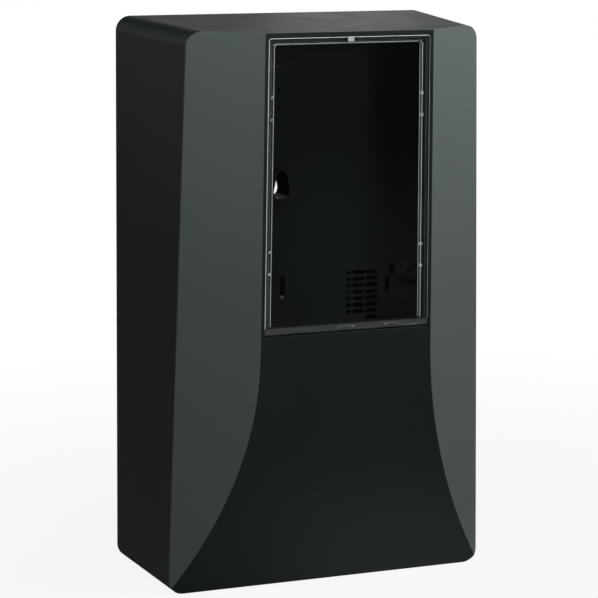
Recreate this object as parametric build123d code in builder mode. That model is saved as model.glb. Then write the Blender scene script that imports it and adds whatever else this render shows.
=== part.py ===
from build123d import *
from math import asin, degrees, sqrt
import os

# Wall-hung electricity meter box: a rear tray, a lift-off hood with two grey wings, and a clear
# reading window that folds down. Millimetres. X runs across, Y back to the wall at 0, Z up.
# The origin is the centre of the wall face.

# Hood, outside
height = 600.0
back_width = 368.0
depth = 205.0
front_width_top = 321.0
front_width_bottom = 362.0
front_drop = 5.5
corner_radius = 16.0
hood_wall = 3.0
edge_round = 0.8
past = 5.0

# Centre strip and wings
bend_height = 262.0
bend_setback = 48.0
strip_width_top = 188.8
strip_width_bend = 194.6
wing_slope = 0.569
panel_thickness = 2.0
panel_gap = 0.2
peg_radius = 3.0
peg_reach = 4.0
peg_gap = 0.2
peg_shares = [(0.27, 0.05), (0.76, 0.05), (0.44, 0.35), (0.44, 0.63), (0.53, 0.83)]
retainer_radius = 6.0
retainer_thickness = 1.0

# Window lid, its recess and the opening behind it
lid_drop = 10.8
lid_rise = 19.0
lid_side_margin = 3.7
lid_thickness = 2.5
lid_corner = 3.0
lid_gap = 0.5
lid_edge = 0.5
ledge_depth = 4.2
frame_depth = 11.0
frame_margin = 3.0
opening_drop = 15.0
opening_rise = 24.5
opening_side = 4.6
opening_corner = 3.0
lid_wall = 2.0
lid_wall_depth = 8.0
lid_wall_gap = 0.7
clip_length = 23.0
clip_places = [217.0, 57.0]
clip_slit = 1.2
clip_bump = 0.35
catch_places = [-52.0, 52.0]
catch_width = 4.0

# Window hinge
barrel_radius = 4.0
barrel_gap = 0.6
ear_places = [-53.0, 0.0, 53.0]
ear_width = 8.0
ear_gap = 0.4
ear_radius = 2.5
ear_stem = 3.0
pin_radius = 1.2
pin_length = 20.0
pin_clearance = 0.05

# Window lock
lock_drop = 13.2
lock_shank = 1.5
lock_clearance = 0.1
lock_head = (6.8, 5.2, 1.0)
lock_head_lift = 0.2
cam_thickness = 1.2
cam_hub = 2.2
cam_reach = 5.2
cam_width = 2.6
cam_gap = 0.2
cam_room = 0.4

# Window gasket
gasket_width = 2.4
gasket_thickness = 1.4
gasket_break = 16.0
gasket_edge = 1.0

# Rear tray
tray_clearance = 0.8
tray_depth = 60.0
tray_wall = 3.0
tray_back = 26.0
shelf_width = 280.0
shelf_depth = 100.0
shelf_gap = 0.6
shelf_rim = 15.0
rib_thickness = 2.0
rib_setback = 2.0
rib_columns = [-150.0, -60.0, 60.0, 150.0]
rib_rows = [-220.0, -130.0, 60.0, 160.0, 270.0]

# Hanging keyhole, wall bosses and meter fixings in the tray's back
keyhole_x = -4.3
keyhole_z = 106.5
keyhole_large = 9.5
keyhole_small = 6.0
keyhole_rise = 17.0
keyhole_wall = 2.5
keyhole_collar = 10.0
boss_spacing = 310.0
boss_z = 7.3
boss_radius = 10.0
boss_height = 7.0
boss_bore = 3.5
boss_foot_radius = 8.0
boss_round = 1.5
collar_height = 2.5
top_hole_x = -4.5
top_hole_drops = [56.8, 82.5, 102.2]
top_hole_radius = 2.0
top_hole_depth = 14.0
top_boss_radius = 5.0
channel_slot = (6.0, 29.4)
channel_centre = (1.7, -4.1)
channel_width = 12.0
channel_run = 4.0
channel_wall = 3.0
side_slots = [(135.7, 11.2, 10.3), (129.9, -5.6, 17.2)]
side_slot_width = 4.9
nut_size = (10.0, 5.0)
nut_bore = 2.5

# Grille in the tray's back
grille_columns = [(79.3, 84.9, -35.2), (86.8, 101.7, -35.2), (103.5, 117.9, -42.6)]
grille_top = 9.6
grille_pitch = 7.46
grille_slot = 4.4
duct = ((75.0, 144.0), (-52.0, 24.0))
duct_wall = 2.0

# Cable entry plate and grommets
entry_opening = (236.0, 50.0)
entry_centre = 59.0
entry_margin = 7.0
entry_thickness = 2.5
entry_screw_inset = 3.5
large_grommets = [-80.0, 80.0]
large_radius = 19.0
small_grommets = [-30.0, 0.0, 30.0]
small_radius = 11.0
grommet_lip = 3.5
grommet_lip_thickness = 1.2
grommet_skin = 1.2
small_screw_shank = 1.5
small_screw_head = 3.2
small_screw_head_height = 2.0

# Hood fixing at the bottom and tongues at the top
hood_screw_spacing = 120.0
hood_screw_depth = 115.0
hood_screw_shank = 2.5
hood_screw_head = 5.0
hood_screw_head_height = 4.0
hood_screw_clearance = 0.3
screw_seal_radius = 4.6
screw_seal_thickness = 0.8
hood_boss_radius = 8.0
hood_boss_height = 10.0
tab_width = 20.0
tab_reach = 23.0
tab_thickness = 3.0
tab_lift = 0.3
clamp_nut_size = (9.0, 4.0)
screw_past_nut = 1.0
tongue_spacing = 220.0
tongue_width = 20.0
tongue_thickness = 3.0
tongue_drop = 14.5
tongue_overlap = 15.0
tongue_clearance = 0.5
tongue_rib = 14.0
tongue_rib_start = 66.0
socket_wall = 3.0

# Seal on the tray's front rim
seal_height = 4.0

top = height / 2
bottom = -height / 2
bend_z = bottom + bend_height
bend_radius = (bend_height**2 + bend_setback**2) / (2 * bend_setback)
lid_top = top - lid_drop
lid_bottom = bend_z + lid_rise
hinge_z = lid_bottom + barrel_radius
hinge_depth = depth - barrel_radius
lock_z = top - lock_drop
opening_top = top - opening_drop
opening_bottom = bend_z + opening_rise
tray_inset = hood_wall + tray_clearance
floor_z = bottom + tray_wall


def strip_half(z):
    """Half the centre strip's width at a height, as if its face stayed vertical."""
    share = (top - z) / (top - bend_z)
    return (strip_width_top + (strip_width_bend - strip_width_top) * share) / 2


def setback(z):
    """How far the centre strip has curved back at a height."""
    below = max(bend_z - z, 0)
    return bend_radius - sqrt(bend_radius**2 - below**2)


def wing_edge(z):
    """Distance from the middle to the line where a wing meets the centre strip."""
    return strip_half(z) + setback(z) / wing_slope


def opening_half(z):
    """Half the window opening's width at a height."""
    return strip_half(z) - lid_side_margin - opening_side


def hood_outline(at_depth, inset):
    """The hood's outline at a depth in front of the wall, drawn in from every side."""
    share = at_depth / depth
    half_top = (back_width + (front_width_top - back_width) * share) / 2
    half_bottom = (back_width + (front_width_bottom - back_width) * share) / 2
    crown = top - front_drop * share
    with BuildSketch(Plane.XZ.offset(at_depth)) as face:
        with BuildLine():
            Polyline(
                (-half_bottom, bottom),
                (half_bottom, bottom),
                (half_top, crown),
                (-half_top, crown),
                close=True,
            )
        make_face()
        fillet(face.vertices(), corner_radius)
        if inset:
            offset(amount=-inset)
    return face.sketch.face()


def centre_profile(inset):
    """Side view of the centre strip's face, vertical above the bend and curved back below it."""
    sweep = degrees(asin((bend_height + past) / bend_radius))
    with BuildSketch(Plane.YZ) as side:
        with BuildLine():
            front = Line((-depth + inset, top + past), (-depth + inset, bend_z))
            curve = JernArc(front @ 1, front % 1, bend_radius - inset, sweep)
            Polyline(curve @ 1, (past, (curve @ 1).Y), (past, top + past), front @ 0)
        make_face()
    return side.sketch


strip_corner = Vector(strip_half(top), -depth, top)
strip_bend = Vector(strip_half(bend_z), -depth, bend_z)
across_wing = Vector(1, wing_slope, 0)
wing_plane = Plane(
    origin=strip_corner,
    x_dir=across_wing,
    z_dir=across_wing.cross(strip_corner - strip_bend),
)


def hood_form(inset, wing_inset, start):
    """The hood as a solid block, drawn in from its sides, its centre face and its wings."""
    with BuildPart() as form:
        loft([hood_outline(start, inset), hood_outline(depth + past, inset)], ruled=True)
        extrude(centre_profile(inset), amount=back_width, both=True, mode=Mode.INTERSECT)
        cut_plane = wing_plane.offset(-wing_inset)
        split(bisect_by=cut_plane, keep=Keep.BOTTOM)
        mirror(about=Plane.YZ, mode=Mode.INTERSECT)
    return form.part


def wing_point(across, down):
    """A point on the right wing, at shares of its width and of the hood's height, in its plane."""
    z = top - down * height
    edge = strip_half(z)
    half_wall = back_width / 2
    half_front = (front_width_top + (front_width_bottom - front_width_top) * down) / 2
    lean = wing_slope * (half_wall - half_front) / depth
    outer = (half_front - lean * edge) / (1 - lean)
    x = wing_edge(z) + (outer - wing_edge(z)) * across
    local = wing_plane.to_local_coords(Vector(x, wing_slope * (x - edge) - depth, z))
    return (local.X, local.Y)


def wing_prism(gap):
    """Everything beyond the line where the right wing meets the centre strip."""
    low = bottom - past
    steps = 12
    heights = [bend_z - (bend_z - low) * i / steps for i in range(steps + 1)]
    bend_points = [Vector(wing_edge(z) + gap, z) for z in heights]
    before_low, after_low = (Vector(wing_edge(z), z) for z in (low + edge_round, low - edge_round))
    with BuildPart() as prism:
        with BuildSketch(Plane.XZ):
            with BuildLine():
                rise = Line((wing_edge(top + past) + gap, top + past), bend_points[0])
                curve = Spline(*bend_points, tangents=[rise % 1, after_low - before_low])
                Polyline(curve @ 1, (back_width, low), (back_width, top + past), rise @ 0)
            make_face()
        extrude(amount=depth + past)
    return prism.part


def lid_face(at_depth, grow, low):
    """Outline of the window lid down to a height, drawn out on its other sides."""
    high = lid_top + grow
    half_high = strip_half(high) - lid_side_margin + grow
    half_low = strip_half(low) - lid_side_margin + grow
    with BuildSketch(Plane.XZ.offset(at_depth)) as face:
        with BuildLine():
            Polyline((-half_low, low), (half_low, low), (half_high, high), (-half_high, high), close=True)
        make_face()
        fillet(face.vertices().sort_by(Axis.Y)[-2:], lid_corner)
    return face.sketch


def opening_face(at_depth, grow):
    """Outline of the window opening, drawn out on every side."""
    high = opening_top + grow
    low = opening_bottom - grow
    half_high = opening_half(high) + grow
    half_low = opening_half(low) + grow
    with BuildSketch(Plane.XZ.offset(at_depth)) as face:
        with BuildLine():
            Polyline((-half_low, low), (half_low, low), (half_high, high), (-half_high, high), close=True)
        make_face()
        fillet(face.vertices(), opening_corner)
    return face.sketch


def tray_block(near, far, inset):
    """A block between two depths that follows the hood's outline, drawn in from its sides."""
    return loft([hood_outline(near, inset), hood_outline(far, inset)], ruled=True, mode=Mode.PRIVATE)


def keyhole_face(at_depth, grow):
    """Pear-shaped outline round the hanging keyhole, drawn out on every side."""
    with BuildSketch(Plane.XZ.offset(at_depth)) as face:
        with Locations((keyhole_x, keyhole_z)):
            Circle(keyhole_large + grow)
        with Locations((keyhole_x, keyhole_z + keyhole_rise)):
            Circle(keyhole_small + grow)
        make_hull()
    return face.sketch


def save(piece, name):
    """Name a finished piece and write it."""
    piece.part.label = name
    export_step(piece.part, f"parts/{name}.step")


os.makedirs("parts", exist_ok=True)
peg_places = [wing_point(across, down) for across, down in peg_shares]

# Wings: grey panels that lie in pockets of the hood, held by pegs through its wall
with BuildPart() as wing_right:
    add(hood_form(0, 0, 0))
    add(wing_prism(panel_gap), mode=Mode.INTERSECT)
    split(bisect_by=wing_plane.offset(-panel_thickness), keep=Keep.TOP)
    with BuildSketch(wing_plane.offset(-panel_thickness)):
        with Locations(*peg_places):
            Circle(peg_radius)
    extrude(amount=-(hood_wall + peg_reach))

with BuildPart() as wing_left:
    mirror(wing_right.part, about=Plane.YZ)

save(wing_right, "wing_right")
save(wing_left, "wing_left")

# Push-on retainers on the pegs, against the inside of the hood
with BuildPart() as wing_retainers:
    with BuildSketch(wing_plane.offset(-panel_thickness - hood_wall)):
        with Locations(*peg_places):
            Circle(retainer_radius)
            Circle(peg_radius, mode=Mode.SUBTRACT)
    extrude(amount=-retainer_thickness)
    mirror(about=Plane.YZ)

save(wing_retainers, "wing_retainers")

# Hood: shell, window frame, hinge ears, wing pockets, screw bosses and top tongues
with BuildPart() as window_frame:
    frame_reach = lid_gap + frame_margin
    extrude(lid_face(depth, frame_reach, lid_bottom - frame_reach), amount=-frame_depth)
    add(hood_form(0, 0, 0), mode=Mode.INTERSECT)

with BuildPart() as wing_pocket:
    add(wing_prism(-panel_gap))
    split(bisect_by=wing_plane.offset(-panel_thickness), keep=Keep.TOP)
    with BuildSketch(wing_plane.offset(-panel_thickness)):
        with Locations(*peg_places):
            Circle(peg_radius + peg_gap)
    extrude(amount=-(hood_wall + past))
    mirror(about=Plane.YZ)

with BuildPart() as hood_shell:
    add(hood_form(0, 0, 0))
    add(hood_form(hood_wall, panel_thickness + hood_wall, -past), mode=Mode.SUBTRACT)
    add(window_frame.part)
    add(wing_pocket.part, mode=Mode.SUBTRACT)
    # Recess for the lid, opening behind it and trough for the hinge barrel
    recess = lid_face(depth + past, lid_gap, lid_bottom - lid_gap)
    extrude(recess, amount=-past - ledge_depth, mode=Mode.SUBTRACT)
    extrude(opening_face(depth, 0), amount=-frame_depth - past, mode=Mode.SUBTRACT)
    trough_half = strip_half(hinge_z) - lid_side_margin + 2 * lid_gap
    with BuildSketch(Plane.YZ.offset(-trough_half)):
        with Locations((-hinge_depth, hinge_z)):
            Circle(barrel_radius + barrel_gap)
    extrude(amount=2 * trough_half, mode=Mode.SUBTRACT)
    # Ears that carry the hinge pins
    for x in ear_places:
        with BuildSketch(Plane.YZ.offset(x - ear_width / 2)):
            with Locations((-hinge_depth, hinge_z)):
                Circle(ear_radius)
            with Locations(((-hinge_depth - depth + frame_depth) / 2, hinge_z)):
                Rectangle(frame_depth - barrel_radius, ear_stem)
            with Locations((-hinge_depth, hinge_z)):
                Circle(pin_radius + pin_clearance, mode=Mode.SUBTRACT)
        extrude(amount=ear_width)
    # Keeper pocket for the lock's cam, above the lid
    cam_front = depth - lid_thickness - cam_gap
    with BuildSketch(Plane.XZ.offset(cam_front + cam_gap)):
        with Locations((cam_reach / 2 - cam_room, lock_z)):
            Rectangle(cam_reach + 2 * cam_width, 2 * (cam_reach + cam_room))
    extrude(amount=-cam_thickness - 2 * cam_gap, mode=Mode.SUBTRACT)
    # Cut-out in the bottom for the tray's cable shelf
    with BuildSketch(Plane.XY.offset(bottom - past)):
        with Locations((0, (past - shelf_depth) / 2)):
            Rectangle(shelf_width, shelf_depth + past)
    extrude(amount=past + hood_wall, mode=Mode.SUBTRACT)
    # Bosses with sunk seats for the fixing screws
    with BuildSketch(Plane.XY.offset(bottom)):
        with Locations((0, -hood_screw_depth)):
            with GridLocations(hood_screw_spacing, 1, 2, 1):
                Circle(hood_boss_radius)
    extrude(amount=hood_boss_height)
    seat_depth = hood_screw_head_height + hood_screw_clearance + screw_seal_thickness
    for x in (-hood_screw_spacing / 2, hood_screw_spacing / 2):
        with Locations(Plane(origin=(x, -hood_screw_depth, bottom), z_dir=(0, 0, -1))):
            CounterBoreHole(
                hood_screw_shank + hood_screw_clearance,
                hood_screw_head + hood_screw_clearance,
                seat_depth,
                depth=hood_boss_height + hood_screw_clearance,
            )
    # Tongues at the top that slide into the tray's sockets
    tongue_z = top - tongue_drop
    with BuildSketch(Plane.YZ):
        with BuildLine():
            Polyline(
                (-tongue_rib_start, tongue_z),
                (-tray_depth + tongue_overlap, tongue_z),
                (-tray_depth + tongue_overlap, tongue_z + tongue_thickness),
                (-tongue_rib_start, tongue_z + tongue_thickness),
                (-tongue_rib_start, top - hood_wall),
                (-tongue_rib_start - tongue_rib, top - hood_wall),
                (-tongue_rib_start - tongue_rib, tongue_z),
                close=True,
            )
        make_face()
    tongue = extrude(amount=tongue_width / 2, both=True, mode=Mode.PRIVATE)
    with Locations((-tongue_spacing / 2, 0), (tongue_spacing / 2, 0)):
        add(tongue)

save(hood_shell, "hood_shell")

# Window lid: clear pane with a rim wall, snap clips and a hinge barrel in one moulding
with BuildPart() as window_lid:
    extrude(lid_face(depth, 0, hinge_z), amount=-lid_thickness)
    front_edges = window_lid.edges().group_by(Axis.Y)[0].filter_by(lambda e: e.center().Z > hinge_z + past)
    chamfer(front_edges, lid_edge)
    rim_depth = depth - lid_thickness
    extrude(opening_face(rim_depth, -lid_wall_gap), amount=-lid_wall_depth)
    extrude(opening_face(rim_depth, -lid_wall_gap - lid_wall), amount=-lid_wall_depth, mode=Mode.SUBTRACT)
    chamfer(window_lid.edges().group_by(Axis.Y)[-1], lid_edge)
    barrel_half = strip_half(hinge_z) - lid_side_margin
    with BuildSketch(Plane.YZ.offset(-barrel_half)):
        with Locations((-hinge_depth, hinge_z)):
            Circle(barrel_radius)
    extrude(amount=2 * barrel_half)
    # Hollows for the hood's ears, closed in front and open behind and below, and bores for the pins
    notch_width = ear_width + 2 * ear_gap
    stem_room = ear_stem / 2 + ear_gap
    reach = 2 * barrel_radius
    for x in ear_places:
        with BuildSketch(Plane.YZ.offset(x - notch_width / 2)):
            with Locations((-hinge_depth, hinge_z)):
                Circle(ear_radius + ear_gap)
                with Locations(((reach - stem_room) / 2, (stem_room - reach) / 2)):
                    Rectangle(reach + stem_room, reach + stem_room)
        extrude(amount=notch_width, mode=Mode.SUBTRACT)
        with BuildSketch(Plane.YZ.offset(x - pin_length / 2)):
            with Locations((-hinge_depth, hinge_z)):
                Circle(pin_radius)
        extrude(amount=pin_length, mode=Mode.SUBTRACT)
    # Slits that free the clips, and a low bump on each
    clip_depth = lid_wall_depth - lid_wall_gap
    for side in (-1, 1):
        for z in clip_places:
            wall_x = side * (opening_half(z) - lid_wall_gap)
            slit_y = -rim_depth + lid_wall_depth - clip_depth / 2
            with Locations((wall_x, slit_y, z - clip_length / 2), (wall_x, slit_y, z + clip_length / 2)):
                Box(3 * lid_wall, clip_depth, clip_slit, mode=Mode.SUBTRACT)
            with Locations((wall_x, -rim_depth + lid_wall_depth - lid_wall / 2, z)):
                Box(2 * clip_bump, lid_wall / 2, clip_length / 2)
    # Small catches on the top wall
    catch_y = -rim_depth + lid_wall_depth - lid_wall / 2
    with Locations(*[(x, catch_y, opening_top - lid_wall_gap) for x in catch_places]):
        Box(catch_width, lid_wall / 2, 2 * clip_bump)
    # Hole for the lock
    with BuildSketch(Plane.XZ.offset(depth)):
        with Locations((0, lock_z)):
            Circle(lock_shank + lock_clearance)
    extrude(amount=-lid_thickness, mode=Mode.SUBTRACT)

save(window_lid, "window_lid")

with BuildPart() as hinge_pins:
    for x in ear_places:
        with BuildSketch(Plane.YZ.offset(x - pin_length / 2)):
            with Locations((-hinge_depth, hinge_z)):
                Circle(pin_radius)
        extrude(amount=pin_length)

save(hinge_pins, "hinge_pins")

# Turn lock at the top of the lid: grey head and shank, with a cam behind the pane
with BuildPart() as window_lock:
    with BuildSketch(Plane.XZ.offset(depth + lock_clearance)):
        with Locations((0, lock_z + lock_head_lift)):
            RectangleRounded(lock_head[0], lock_head[1], edge_round)
    extrude(amount=lock_head[2])
    with BuildSketch(Plane.XZ.offset(depth + lock_clearance)):
        with Locations((0, lock_z)):
            Circle(lock_shank)
    extrude(amount=-(lock_clearance + lid_thickness + cam_gap + cam_thickness))

save(window_lock, "window_lock")

with BuildPart() as lock_cam:
    with BuildSketch(Plane.XZ.offset(cam_front)):
        with Locations((0, lock_z)):
            Circle(cam_hub)
        with Locations((cam_reach / 2, lock_z)):
            Rectangle(cam_reach, cam_width)
        with Locations((0, lock_z)):
            Circle(lock_shank, mode=Mode.SUBTRACT)
    extrude(amount=-cam_thickness)

save(lock_cam, "lock_cam")

# Gasket strips on the ledge, one each side of the lock
with BuildPart() as window_gasket:
    gasket_low = hinge_z + barrel_radius + 2 * barrel_gap
    ledge = depth - ledge_depth
    gasket_inner = -gasket_edge - gasket_width
    extrude(lid_face(ledge, -gasket_edge, gasket_low), amount=gasket_thickness)
    extrude(lid_face(ledge, gasket_inner, gasket_low), amount=gasket_thickness, mode=Mode.SUBTRACT)
    with Locations((0, -ledge, lid_top)):
        Box(gasket_break, 4 * gasket_thickness, 8 * gasket_width, mode=Mode.SUBTRACT)

save(window_gasket, "window_gasket")

# Screws that clamp the hood to the tray's tabs, with their sealing rings and nuts
screw_places = [(x, -hood_screw_depth) for x in (-hood_screw_spacing / 2, hood_screw_spacing / 2)]
screw_seat = bottom + hood_screw_head_height + hood_screw_clearance
tab_low = bottom + hood_boss_height + tab_lift
nut_low = tab_low + tab_thickness + tab_lift
nut_high = nut_low + clamp_nut_size[1]
with BuildPart() as hood_screws:
    with BuildSketch(Plane.XY.offset(screw_seat)):
        with Locations(*screw_places):
            Circle(hood_screw_head)
    extrude(amount=-hood_screw_head_height)
    with BuildSketch(Plane.XY.offset(screw_seat)):
        with Locations(*screw_places):
            Circle(hood_screw_shank)
    extrude(amount=nut_high + screw_past_nut - screw_seat)

save(hood_screws, "hood_screws")

with BuildPart() as screw_seals:
    with BuildSketch(Plane.XY.offset(screw_seat)):
        with Locations(*screw_places):
            Circle(screw_seal_radius)
            Circle(hood_screw_shank, mode=Mode.SUBTRACT)
    extrude(amount=screw_seal_thickness)

save(screw_seals, "screw_seals")

with BuildPart() as hood_nuts:
    with BuildSketch(Plane.XY.offset(nut_low)):
        with Locations(*screw_places):
            Rectangle(clamp_nut_size[0], clamp_nut_size[0])
            Circle(hood_screw_shank, mode=Mode.SUBTRACT)
    extrude(amount=clamp_nut_size[1])

save(hood_nuts, "hood_nuts")

# Rear tray: back wall, skirt, ribs, cable shelf and all the fixings in the back
shelf_half = shelf_width / 2 - shelf_gap
shelf_front = shelf_depth - shelf_gap
wall_rear = tray_back - tray_wall
with BuildPart() as tray_ribs:
    for x in rib_columns:
        with Locations((x, -(wall_rear + rib_setback) / 2, 0)):
            Box(rib_thickness, wall_rear - rib_setback, height)
    for z in rib_rows:
        with Locations((0, -(wall_rear + rib_setback) / 2, z)):
            Box(back_width, wall_rear - rib_setback, rib_thickness)
    add(tray_block(0, tray_depth, tray_inset), mode=Mode.INTERSECT)

with BuildPart() as base_tray:
    add(tray_block(0, tray_depth, tray_inset))
    with Locations((0, -shelf_front / 2, bottom + shelf_rim / 2)):
        Box(2 * shelf_half, shelf_front, shelf_rim)
    add(tray_block(tray_back, tray_depth + past, tray_inset + tray_wall), mode=Mode.SUBTRACT)
    add(tray_block(-past, wall_rear, tray_inset + tray_wall), mode=Mode.SUBTRACT)
    # Hollow of the cable shelf, in front of the back wall and behind it
    shelf_inside = shelf_half - tray_wall
    for near, far in ((tray_back, shelf_front - tray_wall), (-past, wall_rear)):
        with Locations((0, -(near + far) / 2, floor_z + shelf_rim / 2)):
            Box(2 * shelf_inside, far - near, shelf_rim, mode=Mode.SUBTRACT)
    with Locations((0, -entry_centre, bottom)):
        Box(entry_opening[0], entry_opening[1], 2 * past, mode=Mode.SUBTRACT)
    add(tray_ribs.part)
    # Tabs with open slots for the hood's screws
    with BuildSketch(Plane.XY.offset(tab_low)):
        with Locations(*[(x, -shelf_front - tab_reach / 2 + tray_wall / 2) for x, y in screw_places]):
            Rectangle(tab_width, tab_reach + tray_wall)
        slot_width = 2 * hood_screw_shank + tray_clearance
        with Locations(*screw_places):
            SlotCenterPoint((0, -hood_screw_head), (0, -2 * tab_reach), slot_width, mode=Mode.SUBTRACT)
            Circle(slot_width / 2, mode=Mode.SUBTRACT)
    extrude(amount=tab_thickness)
    # Sockets for the hood's tongues
    for x in (-tongue_spacing / 2, tongue_spacing / 2):
        socket_low = tongue_z - tongue_clearance - socket_wall
        socket_high = top - tray_inset - socket_wall
        socket_width = tongue_width + 2 * (tongue_clearance + socket_wall)
        socket_depth = tongue_overlap + 2 * tongue_clearance
        with Locations((x, -tray_depth + socket_depth / 2, (socket_low + socket_high) / 2)):
            Box(socket_width, socket_depth, socket_high - socket_low)
        with Locations((x, -tray_depth + tongue_overlap / 2, tongue_z + tongue_thickness / 2)):
            Box(
                tongue_width + 2 * tongue_clearance,
                2 * tongue_overlap,
                tongue_thickness + 2 * tongue_clearance,
                mode=Mode.SUBTRACT,
            )
    # Bosses, collars and closed channels behind the wall
    extrude(keyhole_face(0, keyhole_wall), amount=tray_back + keyhole_collar)
    boss_places = [(-boss_spacing / 2, boss_z), (boss_spacing / 2, boss_z)]
    with BuildSketch(Plane.XZ):
        with Locations(*boss_places):
            Circle(boss_foot_radius)
    extrude(amount=tray_back)
    with BuildSketch(Plane.XZ.offset(tray_back)):
        with Locations(*boss_places):
            Circle(boss_radius)
    extrude(amount=boss_height)
    boss_tops = base_tray.faces(Select.LAST).sort_by(Axis.Y)[:2]
    fillet(boss_tops.edges(), boss_round)
    hole_places = [(top_hole_x, top - drop) for drop in top_hole_drops]
    with BuildSketch(Plane.XZ.offset(wall_rear)):
        with Locations(*hole_places):
            Circle(top_boss_radius)
    extrude(amount=-top_hole_depth)
    with BuildSketch(Plane.XZ.offset(tray_back)):
        with Locations(hole_places[0]):
            Circle(top_boss_radius + collar_height)
    extrude(amount=collar_height)
    channel_x, channel_z = channel_centre
    channel_length = channel_slot[1] + 2 * channel_run
    with Locations((channel_x, -wall_rear / 2, channel_z)):
        Box(channel_width + 2 * channel_wall, wall_rear, channel_length + 2 * channel_wall)
        with Locations((0, -channel_wall / 2, 0)):
            Box(channel_width, wall_rear - channel_wall, channel_length, mode=Mode.SUBTRACT)
    (duct_left, duct_right), (duct_low, duct_high) = duct
    with Locations(((duct_left + duct_right) / 2, -wall_rear / 2, (duct_low + duct_high) / 2)):
        Box(duct_right - duct_left, wall_rear, duct_high - duct_low)
        with Locations((0, -duct_wall / 2, -duct_wall / 2)):
            Box(
                duct_right - duct_left - 2 * duct_wall,
                wall_rear - duct_wall,
                duct_high - duct_low - duct_wall,
                mode=Mode.SUBTRACT,
            )
    # Holes through the back wall
    extrude(keyhole_face(-past, 0), amount=tray_back + keyhole_collar + 2 * past, mode=Mode.SUBTRACT)
    with BuildSketch(Plane.XZ.offset(-past)):
        with Locations(*boss_places):
            Circle(boss_bore)
    extrude(amount=tray_back + boss_height + 2 * past, mode=Mode.SUBTRACT)
    with BuildSketch(Plane.XZ.offset(tray_back + collar_height)):
        with Locations(*hole_places):
            Circle(top_hole_radius)
    extrude(amount=-(top_hole_depth + collar_height), mode=Mode.SUBTRACT)
    with BuildSketch(Plane.XZ.offset(tray_back)):
        with Locations((channel_x, channel_z)):
            SlotOverall(channel_slot[1], channel_slot[0], rotation=90)
        for x, z, length in side_slots:
            with Locations((x, z)):
                SlotOverall(length, side_slot_width, rotation=90)
        for left, right, low in grille_columns:
            rows = round((grille_top - low) / grille_pitch) + 1
            with Locations(*[((left + right) / 2, grille_top - i * grille_pitch) for i in range(rows)]):
                SlotOverall(right - left, grille_slot)
    extrude(amount=-tray_wall, mode=Mode.SUBTRACT)
    # Blind holes for the entry plate's screws
    screw_x = entry_opening[0] / 2 + entry_screw_inset
    screw_y = entry_opening[1] / 2 + entry_screw_inset
    entry_screws = [(sx * screw_x, -entry_centre + sy * screw_y) for sx in (-1, 1) for sy in (-1, 1)]
    with BuildSketch(Plane.XY.offset(floor_z)):
        with Locations(*entry_screws):
            Circle(small_screw_shank)
    extrude(amount=-tray_wall + edge_round, mode=Mode.SUBTRACT)

save(base_tray, "base_tray")

# Nut in the middle channel, low down and against the back of the wall
with BuildPart() as meter_nut:
    nut_z = channel_z - channel_length / 2 + nut_size[0] / 2
    with Locations((channel_x, -wall_rear + nut_size[1] / 2, nut_z)):
        Box(nut_size[0], nut_size[1], nut_size[0])
        Cylinder(nut_bore, nut_size[1], rotation=(90, 0, 0), mode=Mode.SUBTRACT)

save(meter_nut, "meter_nut")

# Screw that a meter hangs on, in the highest of the top holes
with BuildPart() as meter_screw:
    with BuildSketch(Plane.XZ.offset(tray_back + collar_height)):
        with Locations(hole_places[0]):
            Circle(top_boss_radius)
    extrude(amount=collar_height)
    fillet(meter_screw.edges().group_by(Axis.Y)[0], edge_round)
    with BuildSketch(Plane.XZ.offset(tray_back + collar_height)):
        with Locations(hole_places[0]):
            Circle(top_hole_radius)
    extrude(amount=-top_hole_depth)

save(meter_screw, "meter_screw")

# Cable entry plate on the shelf, with its screws and grommets
entry_size = [size + 2 * entry_margin for size in entry_opening]
with BuildPart() as entry_plate:
    with BuildSketch(Plane.XY.offset(floor_z)):
        with Locations((0, -entry_centre)):
            RectangleRounded(entry_size[0], entry_size[1], entry_screw_inset)
        with Locations(*[(x, -entry_centre) for x in large_grommets]):
            Circle(large_radius, mode=Mode.SUBTRACT)
        with Locations(*[(x, -entry_centre) for x in small_grommets]):
            Circle(small_radius, mode=Mode.SUBTRACT)
        with Locations(*entry_screws):
            Circle(small_screw_shank, mode=Mode.SUBTRACT)
    extrude(amount=entry_thickness)

save(entry_plate, "entry_plate")

with BuildPart() as entry_plate_screws:
    with BuildSketch(Plane.XY.offset(floor_z + entry_thickness)):
        with Locations(*entry_screws):
            Circle(small_screw_head)
    extrude(amount=small_screw_head_height)
    with BuildSketch(Plane.XY.offset(floor_z + entry_thickness)):
        with Locations(*entry_screws):
            Circle(small_screw_shank)
    extrude(amount=-(entry_thickness + tray_wall - 2 * edge_round))

save(entry_plate_screws, "entry_plate_screws")


def grommet(x, radius):
    """Rubber grommet in the entry plate, closed by a skin that steps up to its middle."""
    lip = radius + grommet_lip
    inner = radius - grommet_lip
    over = entry_thickness + grommet_lip_thickness
    step = grommet_lip
    with BuildPart() as ring:
        with BuildSketch(Plane((x, -entry_centre, floor_z), x_dir=(1, 0, 0), z_dir=(0, -1, 0))):
            with BuildLine():
                Polyline(
                    (inner, -grommet_lip_thickness),
                    (lip, -grommet_lip_thickness),
                    (lip, 0),
                    (radius, 0),
                    (radius, entry_thickness),
                    (lip, entry_thickness),
                    (lip, over),
                    (inner + grommet_skin, over),
                    (inner + grommet_skin, over + step),
                    (inner / 2 + grommet_skin, over + step),
                    (inner / 2 + grommet_skin, over + 2 * step),
                    (0, over + 2 * step),
                    (0, over + 2 * step - grommet_skin),
                    (inner / 2, over + 2 * step - grommet_skin),
                    (inner / 2, over + step - grommet_skin),
                    (inner, over + step - grommet_skin),
                    close=True,
                )
            make_face()
        revolve(axis=Axis((x, -entry_centre, 0), (0, 0, 1)))
    return ring.part


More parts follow.
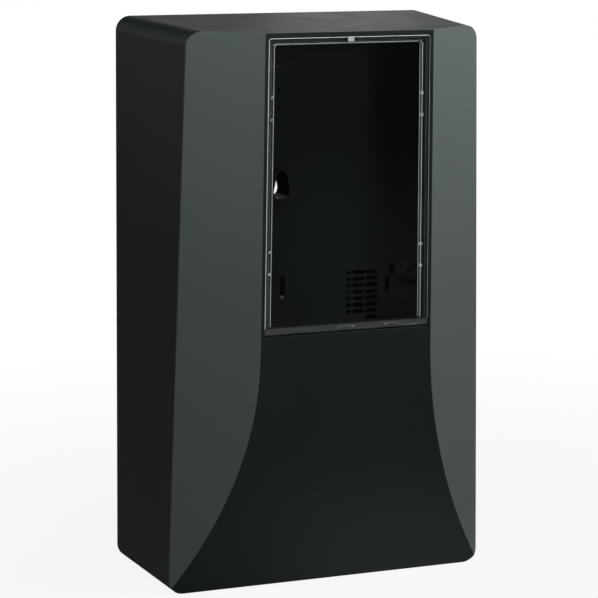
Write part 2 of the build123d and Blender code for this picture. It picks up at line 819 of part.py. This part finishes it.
for name, places, radius in (
    ("large_grommets", large_grommets, large_radius),
    ("small_grommets", small_grommets, small_radius),
):
    with BuildPart() as grommets:
        for x in places:
            add(grommet(x, radius))
    save(grommets, name)

# Sealing profile on the tray's front rim, open at the cable shelf
with BuildPart() as tray_seal:
    seal_front = tray_depth + seal_height
    add(tray_block(tray_depth, seal_front, tray_inset))
    seal_inside = tray_block(tray_depth - past, seal_front + past, tray_inset + tray_wall)
    add(seal_inside, mode=Mode.SUBTRACT)
    with Locations((0, -tray_depth, bottom)):
        Box(shelf_width + 2 * tray_wall, 4 * seal_height, 2 * (shelf_rim + tray_wall), mode=Mode.SUBTRACT)

save(tray_seal, "tray_seal")
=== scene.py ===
import bpy
from mathutils import Matrix, Vector


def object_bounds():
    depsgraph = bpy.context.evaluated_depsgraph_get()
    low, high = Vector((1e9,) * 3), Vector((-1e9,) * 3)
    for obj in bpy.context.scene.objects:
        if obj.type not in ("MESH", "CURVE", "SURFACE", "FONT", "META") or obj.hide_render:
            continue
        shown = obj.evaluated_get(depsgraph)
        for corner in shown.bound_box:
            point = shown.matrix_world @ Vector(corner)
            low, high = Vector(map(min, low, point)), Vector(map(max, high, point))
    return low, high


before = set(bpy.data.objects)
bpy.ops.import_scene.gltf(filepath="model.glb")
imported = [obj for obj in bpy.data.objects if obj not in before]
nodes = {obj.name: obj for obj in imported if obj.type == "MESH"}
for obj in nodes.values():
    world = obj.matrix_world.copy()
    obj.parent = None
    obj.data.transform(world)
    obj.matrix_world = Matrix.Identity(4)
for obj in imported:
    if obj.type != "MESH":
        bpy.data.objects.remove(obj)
cad_box = [list(map(float, corner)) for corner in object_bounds()]
scene = bpy.context.scene

# A colour Mix node's inputs and output
MIX_FACTOR, MIX_A, MIX_B, MIX_COLOUR = 0, 6, 7, 2

# Places on the object, in metres. A pair is a middle and a half-width.
# The lid's rim wall: its inner sides lean inwards as they rise
RIM_HALF_WIDTH = 0.08698
RIM_LEAN = 0.00859
RIM_TOP = 0.2833
RIM_FOOT = -0.0095
RIM_FRONT = -0.2020
# The two painted highlight lines on the rim wall: the Y of each, with its half-width
RIDGE_FRONT = (-0.2017, 0.0009)
RIDGE_BACK = (-0.1953, 0.0006)
# The lid's snap clips, with a slit at each end of a clip
CLIPS_MIDDLE = 0.137
CLIPS_OFFSET = 0.080
CLIP_SIDE = 0.080
CLIP_SLIT = (0.0115, 0.0011)
CLIP_FRONT = -0.2018
BARREL_TOP = -0.0108
# The tray: the duct behind the grille, and the keyhole's ellipse, where shade is painted
DUCT_FRONT = -0.0256
DUCT_X = (0.1095, 0.0375)
DUCT_Z = (-0.01, 0.04)
KEYHOLE_X = (-0.0043, 0.0113)
KEYHOLE_Z = (0.1133, 0.0172)
# The Y of a normal on a chamfer of 45 degrees, with its margin
CHAMFER_TILT = (0.707, 0.16)


def tree_of(name):
    """A new material with its node tree and its Principled shader."""
    material = bpy.data.materials.new(name)
    material.use_nodes = True
    tree = material.node_tree
    tree.nodes.clear()
    output = tree.nodes.new("ShaderNodeOutputMaterial")
    shader = tree.nodes.new("ShaderNodeBsdfPrincipled")
    tree.links.new(shader.outputs["BSDF"], output.inputs["Surface"])
    return material, tree, shader


def add_node(tree, kind, **sockets):
    """A node with its input sockets set by name, with spaces written as underscores."""
    node = tree.nodes.new(kind)
    for key, value in sockets.items():
        node.inputs[key.replace("_", " ")].default_value = value
    return node


def maths(tree, operation, *values):
    """A chain's next number: each value is a socket or a plain number."""
    node = tree.nodes.new("ShaderNodeMath")
    node.operation = operation
    for socket, value in zip(node.inputs, values):
        if isinstance(value, (int, float)):
            socket.default_value = value
        else:
            tree.links.new(value, socket)
    return node.outputs["Value"]


def absolute(tree, value):
    """A number without its sign."""
    return maths(tree, "ABSOLUTE", value)


def product(tree, first, *others):
    """The product of numbers. For masks, what they all cover."""
    for other in others:
        first = maths(tree, "MULTIPLY", first, other)
    return first


def parts_of(tree, output):
    """The X, Y and Z of one of the coordinate outputs, such as the place or the normal."""
    place = tree.nodes.new("ShaderNodeTexCoord")
    split = tree.nodes.new("ShaderNodeSeparateXYZ")
    tree.links.new(place.outputs[output], split.inputs["Vector"])
    return split.outputs["X"], split.outputs["Y"], split.outputs["Z"]


def noise(tree, scale, detail, rough=0.55, stretch=None):
    """Noise in the part's own coordinates. The scale counts cells per metre."""
    place = tree.nodes.new("ShaderNodeTexCoord")
    texture = add_node(
        tree, "ShaderNodeTexNoise", Scale=scale, Detail=detail, Roughness=rough)
    if stretch:
        mapping = add_node(tree, "ShaderNodeMapping", Scale=stretch)
        tree.links.new(place.outputs["Object"], mapping.inputs["Vector"])
        tree.links.new(mapping.outputs["Vector"], texture.inputs["Vector"])
    else:
        tree.links.new(place.outputs["Object"], texture.inputs["Vector"])
    return texture.outputs["Fac"]


def ranged(tree, value, start, end, low, high, kind="LINEAR"):
    """Maps a number from one range to another."""
    node = add_node(
        tree, "ShaderNodeMapRange",
        From_Min=start, From_Max=end, To_Min=low, To_Max=high)
    node.interpolation_type = kind
    tree.links.new(value, node.inputs["Value"])
    return node.outputs["Result"]


def spread(tree, fac, low, high):
    """Maps a noise value to a range."""
    return ranged(tree, fac, 0.25, 0.75, low, high)


def tint(tree, fac, under, over):
    """A colour between two. The first is plain or a socket, the second plain."""
    node = tree.nodes.new("ShaderNodeMix")
    node.data_type = "RGBA"
    if isinstance(under, (tuple, list)):
        node.inputs[MIX_A].default_value = (*under, 1.0)
    else:
        tree.links.new(under, node.inputs[MIX_A])
    node.inputs[MIX_B].default_value = (*over, 1.0)
    tree.links.new(fac, node.inputs[MIX_FACTOR])
    return node.outputs[MIX_COLOUR]


def blend(tree, fac, first, second):
    """A mix of two shaders."""
    node = tree.nodes.new("ShaderNodeMixShader")
    tree.links.new(fac, node.inputs["Fac"])
    tree.links.new(first, node.inputs[1])
    tree.links.new(second, node.inputs[2])
    return node.outputs["Shader"]


def bumpy(tree, shader, layers, edge=0.0):
    """Stacks bump layers, each (height, strength, distance), over rounded edges."""
    normal = None
    if edge:
        bevel = tree.nodes.new("ShaderNodeBevel")
        bevel.samples = 6
        bevel.inputs["Radius"].default_value = edge
        normal = bevel.outputs["Normal"]
    for height, strength, distance in layers:
        bump = add_node(tree, "ShaderNodeBump", Strength=strength, Distance=distance)
        tree.links.new(height, bump.inputs["Height"])
        if normal is not None:
            tree.links.new(normal, bump.inputs["Normal"])
        normal = bump.outputs["Normal"]
    tree.links.new(normal, shader.inputs["Normal"])


def moulded(name, colour, rough, gloss, grain, vary=0.07, edge=0.0008):
    """Moulded plastic: fine spark-eroded grain, faint flow marks and slow colour drift."""
    material, tree, shader = tree_of(name)
    slow = noise(tree, 9.0, 2.0)
    flow = noise(tree, 26.0, 3.0, 0.6, (1.0, 1.0, 0.22))
    fine = noise(tree, 1900.0, 2.0, 0.6)
    dark = [c * (1 - vary) for c in colour]
    light = [c * (1 + vary) for c in colour]
    tree.links.new(tint(tree, slow, dark, light), shader.inputs["Base Color"])
    tree.links.new(spread(tree, flow, *rough), shader.inputs["Roughness"])
    shader.inputs["Specular IOR Level"].default_value = gloss
    shader.inputs["Specular Tint"].default_value = (0.82, 1.0, 0.94, 1.0)
    bumpy(tree, shader, [(flow, 0.03, 0.0006), (fine, grain, 0.00006)], edge)
    return material


def rubber(name, colour, cells):
    """Foamed or moulded rubber with a dry, closed-cell surface."""
    material, tree, shader = tree_of(name)
    slow = noise(tree, 40.0, 3.0)
    pores = noise(tree, cells, 4.0, 0.7)
    dark = [c * 0.8 for c in colour]
    light = [c * 1.25 for c in colour]
    tree.links.new(tint(tree, slow, dark, light), shader.inputs["Base Color"])
    tree.links.new(spread(tree, pores, 0.68, 0.85), shader.inputs["Roughness"])
    shader.inputs["Specular IOR Level"].default_value = 0.25
    bumpy(tree, shader, [(pores, 0.3, 0.0001)])
    return material


def metal(name, colour, rough=(0.24, 0.4), brushed=(1.0, 1.0, 30.0)):
    """Plated, blackened or stainless steel with turning marks and a little dulling."""
    material, tree, shader = tree_of(name)
    patches = noise(tree, 180.0, 4.0, 0.65)
    lines = noise(tree, 900.0, 2.0, 0.5, brushed)
    dark = [c * 0.82 for c in colour]
    tree.links.new(tint(tree, patches, dark, colour), shader.inputs["Base Color"])
    tree.links.new(spread(tree, patches, *rough), shader.inputs["Roughness"])
    shader.inputs["Metallic"].default_value = 1.0
    bumpy(tree, shader, [(lines, 0.12, 0.00005)], 0.0002)
    return material


def rim_glint_lines(tree, x, y, z, upright):
    """Mask of the two painted highlight lines along the inside of the lid's rim wall."""
    leaning = maths(tree, "MULTIPLY_ADD", z, RIM_LEAN, absolute(tree, x))
    inside = maths(tree, "LESS_THAN", leaning, RIM_HALF_WIDTH)
    below_top = maths(tree, "LESS_THAN", z, RIM_TOP)
    above_foot = maths(tree, "GREATER_THAN", z, RIM_FOOT)
    front = maths(tree, "COMPARE", y, *RIDGE_FRONT)
    back_line = maths(tree, "COMPARE", y, *RIDGE_BACK)
    glint_strips = maths(tree, "MAXIMUM", front, back_line)
    return product(tree, upright, inside, below_top, glint_strips, above_foot)


def clip_slit_glints(tree, x, y, z):
    """Mask of the slits at the ends of the snap clips, where glints are painted."""
    side = maths(tree, "GREATER_THAN", absolute(tree, x), CLIP_SIDE)
    from_middle = absolute(tree, maths(tree, "SUBTRACT", z, CLIPS_MIDDLE))
    from_clip = absolute(tree, maths(tree, "SUBTRACT", from_middle, CLIPS_OFFSET))
    slit = maths(tree, "COMPARE", from_clip, *CLIP_SLIT)
    behind_face = maths(tree, "GREATER_THAN", y, CLIP_FRONT)
    return product(tree, slit, side, behind_face)


def clear(name):
    """Clear polycarbonate: see-through faces, a grey barrel, and painted highlights on the
    edges, which are coloured pale and give off light.
    """
    material, tree, shader = tree_of(name)
    x, y, z = parts_of(tree, "Object")
    _, normal_y, _ = parts_of(tree, "Normal")
    # Mask of painted highlights: the chamfers, the rim wall's two lines and the clip slits,
    # away from the barrel
    chamfer = maths(tree, "COMPARE", absolute(tree, normal_y), *CHAMFER_TILT)
    upright = maths(tree, "LESS_THAN", absolute(tree, normal_y), 0.3)
    barrel = maths(tree, "LESS_THAN", z, BARREL_TOP)
    lines = maths(tree, "MAXIMUM", chamfer, rim_glint_lines(tree, x, y, z, upright))
    lines = maths(tree, "MAXIMUM", lines, clip_slit_glints(tree, x, y, z))
    edge = product(tree, lines, maths(tree, "SUBTRACT", 1.0, barrel))

    # Opacity: a thin film on the faces, and much more on the rim wall, the edges with their
    # painted highlights, and the barrel
    rim = product(tree, upright, maths(tree, "GREATER_THAN", y, RIM_FRONT))
    film = maths(tree, "MULTIPLY_ADD", rim, 0.7, 0.04)
    thin = maths(tree, "MAXIMUM", product(tree, edge, 0.64), film)
    streaks = noise(tree, 160.0, 3.0, 0.6, (0.06, 1.0, 1.0))
    solid = product(tree, barrel, spread(tree, streaks, 0.62, 0.85))
    tree.links.new(maths(tree, "MAXIMUM", thin, solid), shader.inputs["Alpha"])

    grey = tint(tree, barrel, (0.012, 0.015, 0.014), (0.05, 0.058, 0.055))
    # Painted highlight: the edges are coloured pale
    colour = tint(tree, edge, grey, (0.55, 0.62, 0.6))
    tree.links.new(colour, shader.inputs["Base Color"])
    # Painted glints: the edges give off a faint, uneven glow
    shader.inputs["Emission Color"].default_value = (0.86, 1.0, 0.96, 1.0)
    glint = spread(tree, noise(tree, 60.0, 2.0), 0.22, 0.46)
    tree.links.new(product(tree, edge, glint), shader.inputs["Emission Strength"])
    haze = noise(tree, 14.0, 3.0)
    scratches = noise(tree, 240.0, 3.0, 0.6, (1.0, 1.0, 0.15))
    tree.links.new(spread(tree, haze, 0.06, 0.12), shader.inputs["Roughness"])
    shader.inputs["IOR"].default_value = 1.58
    shader.inputs["Specular IOR Level"].default_value = 0.5
    bumpy(tree, shader, [(haze, 0.02, 0.001), (scratches, 0.02, 0.00003)])
    return material


def tray(name, colour):
    """Moulded black, with painted shade in the grille's duct and the keyhole, and a painted
    highlight on the keyhole's foot from a higher specular level.
    """
    material = moulded(name, colour, rough=(0.34, 0.44), gloss=0.1, grain=0.35)
    tree = material.node_tree
    shader = next(node for node in tree.nodes if node.type == "BSDF_PRINCIPLED")
    x, y, z = parts_of(tree, "Object")
    _, normal_y, normal_z = parts_of(tree, "Normal")

    # Painted shade: near black in the duct behind the grille and in the keyhole
    behind = maths(tree, "GREATER_THAN", y, DUCT_FRONT)
    within_z = maths(tree, "COMPARE", z, *DUCT_Z)
    within_x = maths(tree, "COMPARE", x, *DUCT_X)
    duct = product(tree, behind, within_z, within_x)
    (middle_x, half_x), (middle_z, half_z) = KEYHOLE_X, KEYHOLE_Z
    aside = maths(tree, "MULTIPLY_ADD", x, 1 / half_x, -middle_x / half_x)
    above = maths(tree, "MULTIPLY_ADD", z, 1 / half_z, -middle_z / half_z)
    off = maths(tree, "ADD", product(tree, aside, aside), product(tree, above, above))
    upright = maths(tree, "LESS_THAN", absolute(tree, normal_y), 0.5)
    hole = product(tree, maths(tree, "LESS_THAN", off, 1.0), upright)
    # The keyhole's upward-facing foot, where a highlight is painted
    highlight_foot = product(tree, hole, maths(tree, "GREATER_THAN", normal_z, 0.6))

    painted_shade_mask = maths(tree, "MAXIMUM", duct, hole)
    surface = shader.inputs["Base Color"].links[0].from_socket
    shade = tint(tree, painted_shade_mask, surface, (0.0012, 0.0014, 0.0013))
    tree.links.new(shade, shader.inputs["Base Color"])
    grain = shader.inputs["Roughness"].links[0].from_socket
    smoother = maths(tree, "MULTIPLY_ADD", hole, -0.24, grain)
    tree.links.new(smoother, shader.inputs["Roughness"])
    # Painted highlight: a high specular level on the keyhole's foot
    painted_highlight = maths(tree, "MULTIPLY_ADD", highlight_foot, 0.7, 0.1)
    tree.links.new(painted_highlight, shader.inputs["Specular IOR Level"])
    # Painted shade: a black diffuse mixed onto the keyhole's walls
    painted_shade_black = add_node(tree, "ShaderNodeBsdfDiffuse", Color=(0.0015, 0.0017, 0.0016, 1.0))
    shaded_keyhole_walls = maths(tree, "SUBTRACT", hole, highlight_foot)
    mixed = blend(tree, shaded_keyhole_walls, shader.outputs["BSDF"], painted_shade_black.outputs["BSDF"])
    tree.links.new(mixed, tree.nodes["Material Output"].inputs["Surface"])
    return material


BLACK = (0.0072, 0.0112, 0.0099)
GREY = (0.070, 0.084, 0.079)
finishes = {
    "hood_shell": moulded(
        "hood_black", BLACK, rough=(0.36, 0.44), gloss=0.17, grain=0.25),
    "wing_right": moulded(
        "wing_grey", GREY, rough=(0.36, 0.44), gloss=0.2, grain=0.25,
        vary=0.03, edge=0.0006),
    "base_tray": tray("tray_black", (0.0200, 0.0262, 0.0225)),
    "entry_plate": moulded(
        "plate_black", (0.012, 0.013, 0.012), rough=(0.42, 0.52), gloss=0.25, grain=0.5),
    "window_lock": moulded(
        "lock_grey", (0.30, 0.33, 0.31), rough=(0.4, 0.5), gloss=0.35, grain=0.3,
        vary=0.04, edge=0.0003),
    "lock_cam": moulded(
        "cam_grey", (0.26, 0.28, 0.27), rough=(0.45, 0.55), gloss=0.35, grain=0.3,
        vary=0.04, edge=0.0002),
    "tray_seal": rubber("seal_foam", (0.018, 0.018, 0.019), 900.0),
    "window_gasket": rubber("gasket_foam", (0.027, 0.032, 0.030), 1600.0),
    "large_grommets": rubber("grommet_rubber", (0.02, 0.02, 0.021), 500.0),
    "screw_seals": rubber("ring_rubber", (0.02, 0.02, 0.02), 800.0),
    "hood_screws": metal("stainless", (0.56, 0.56, 0.55)),
    "hinge_pins": metal("pin_steel", (0.55, 0.56, 0.56), (0.2, 0.32), (30.0, 1.0, 1.0)),
    "hood_nuts": metal("nut_zinc", (0.5, 0.52, 0.53), (0.3, 0.45)),
    "meter_screw": metal("screw_black", (0.05, 0.052, 0.05), (0.14, 0.22), (1.0, 30.0, 1.0)),
    "wing_retainers": metal("spring_steel", (0.35, 0.36, 0.37), (0.25, 0.4)),
    "window_lid": clear("clear_pane"),
}
same = {
    "wing_left": "wing_right",
    "small_grommets": "large_grommets",
    "entry_plate_screws": "hood_nuts",
    "meter_nut": "hood_nuts",
}
for node, ob in nodes.items():
    ob.data.materials.clear()
    ob.data.materials.append(finishes[same.get(node, node)])

# Camera at the photograph's angle, fitted to outline edges and window edges of the box
SENSOR = 36.0
PHOTO_PIXELS = 598
FOCAL_PIXELS = 2577.8
right = Vector((0.91923, -0.39360, 0.00952))
up = Vector((0.06167, 0.16783, 0.98389))
back = right.cross(up)
camera_data = bpy.data.cameras.new("camera")
camera_data.sensor_width = SENSOR
camera_data.lens = FOCAL_PIXELS / PHOTO_PIXELS * SENSOR
camera_data.clip_start = 0.05
camera_data.clip_end = 30.0
camera = bpy.data.objects.new("camera", camera_data)
turn = Matrix((right, up, back)).transposed().to_4x4()
camera.matrix_world = Matrix.Translation((-1.0954, -2.6226, 0.4964)) @ turn
scene.collection.objects.link(camera)
scene.camera = camera


def lamp(name, place, target, size, watts):
    """A rectangular soft lamp that faces a target."""
    data = bpy.data.lights.new(name, "AREA")
    data.shape = "RECTANGLE"
    data.size, data.size_y = size
    data.energy = watts
    ob = bpy.data.objects.new(name, data)
    ob.location = place
    facing = Vector(target) - Vector(place)
    ob.rotation_euler = facing.to_track_quat("-Z", "Y").to_euler()
    ob.visible_camera = False
    scene.collection.objects.link(ob)


lamp("key_right", (0.95, -0.7, 0.85), (0.12, -0.18, 0.1), (0.4, 0.5), 8.0)
lamp("right_near", (0.55, -0.6, 0.75), (0.12, -0.18, 0.2), (0.3, 0.3), 4.2)
lamp("fill_left", (-0.35, -0.75, 0.8), (-0.12, -0.2, 0.15), (0.35, 0.35), 2.2)
lamp("left_near", (-0.2, -0.5, 0.7), (-0.12, -0.2, 0.2), (0.25, 0.25), 1.8)
lamp("left_low", (-0.9, -1.6, 0.2), (0.05, -0.03, 0.1), (0.5, 0.5), 1.0)
lamp("front", (-0.12, -1.8, 0.46), (0.0, -0.05, 0.1), (0.3, 0.3), 4.2)
lamp("top_back", (0.56, 1.05, 0.5), (0.02, -0.1, 0.3), (0.22, 0.25), 0.11)


def background(tree, strength):
    """A white world shader. Its strength is a socket or a plain number."""
    node = add_node(tree, "ShaderNodeBackground", Color=(1.0, 1.0, 1.0, 1.0))
    if isinstance(strength, float):
        node.inputs["Strength"].default_value = strength
    else:
        tree.links.new(strength, node.inputs["Strength"])
    return node.outputs["Background"]


# World: white to the camera and through transmission, and dim as ambient light. Reflections
# find it dark in front and behind, brighter to both sides and a little at the back right.
world = bpy.data.worlds.new("world")
scene.world = world
world.use_nodes = True
tree = world.node_tree
tree.nodes.clear()
rays = tree.nodes.new("ShaderNodeLightPath")
direct = maths(
    tree, "MAXIMUM", rays.outputs["Is Camera Ray"], rays.outputs["Is Transmission Ray"])
x, y, _ = parts_of(tree, "Generated")
sides = product(tree, x, x, 1.5)
towards = maths(tree, "MULTIPLY_ADD", x, 0.65, product(tree, y, 0.72))
back_right = maths(tree, "MAXIMUM", towards, 0.0)
lifted = product(tree, maths(tree, "POWER", back_right, 4.0), 0.15)
mirrored = maths(tree, "ADD", maths(tree, "ADD", sides, lifted), 0.03)
indirect = blend(
    tree, rays.outputs["Is Glossy Ray"], background(tree, 0.06), background(tree, mirrored))
output = tree.nodes.new("ShaderNodeOutputWorld")
whole = blend(tree, direct, indirect, background(tree, 1.0))
tree.links.new(whole, output.inputs["Surface"])

# Floor: pale and plain, close to white for the camera, with the box's soft shadow left in.
# Its distances count from a place a little in front of the box, and reflections find a
# painted pool of light round that place: the floor glows there for glossy rays only.
FLOOR_HALF = 6
POOL_X, POOL_Y = 0.1, -0.2
floor_z = cad_box[0][2]
mesh = bpy.data.meshes.new("floor")
signs = [(-1, -1), (1, -1), (1, 1), (-1, 1)]
mesh.from_pydata(
    [(a * FLOOR_HALF, b * FLOOR_HALF, floor_z) for a, b in signs], [], [(0, 1, 2, 3)])
floor = bpy.data.objects.new("floor", mesh)
scene.collection.objects.link(floor)
material, tree, shader = tree_of("floor_pale")
shader.inputs["Base Color"].default_value = (0.35, 0.35, 0.35, 1.0)
shader.inputs["Roughness"].default_value = 0.9
glow = add_node(tree, "ShaderNodeEmission", Color=(1.0, 1.0, 1.0, 1.0), Strength=1.0)
rays = tree.nodes.new("ShaderNodeLightPath")
x, y, _ = parts_of(tree, "Object")
across = maths(tree, "SUBTRACT", x, POOL_X)
ahead = maths(tree, "SUBTRACT", y, POOL_Y)
squares = maths(
    tree, "ADD", product(tree, across, across), product(tree, ahead, ahead))
away = maths(tree, "SQRT", squares)
white = ranged(tree, away, 0.4, 1.3, 0.9, 1.0)
share = product(tree, white, rays.outputs["Is Camera Ray"])
# Painted light: a glowing pool on the floor that only reflections see
painted_light_pool = ranged(tree, away, 0.02, 0.28, 0.75, 0.0, "SMOOTHSTEP")
seen = maths(tree, "MULTIPLY_ADD", painted_light_pool, rays.outputs["Is Glossy Ray"], share)
lit = blend(tree, seen, shader.outputs["BSDF"], glow.outputs["Emission"])
tree.links.new(lit, tree.nodes["Material Output"].inputs["Surface"])
mesh.materials.append(material)

scene.view_settings.view_transform = "Standard"
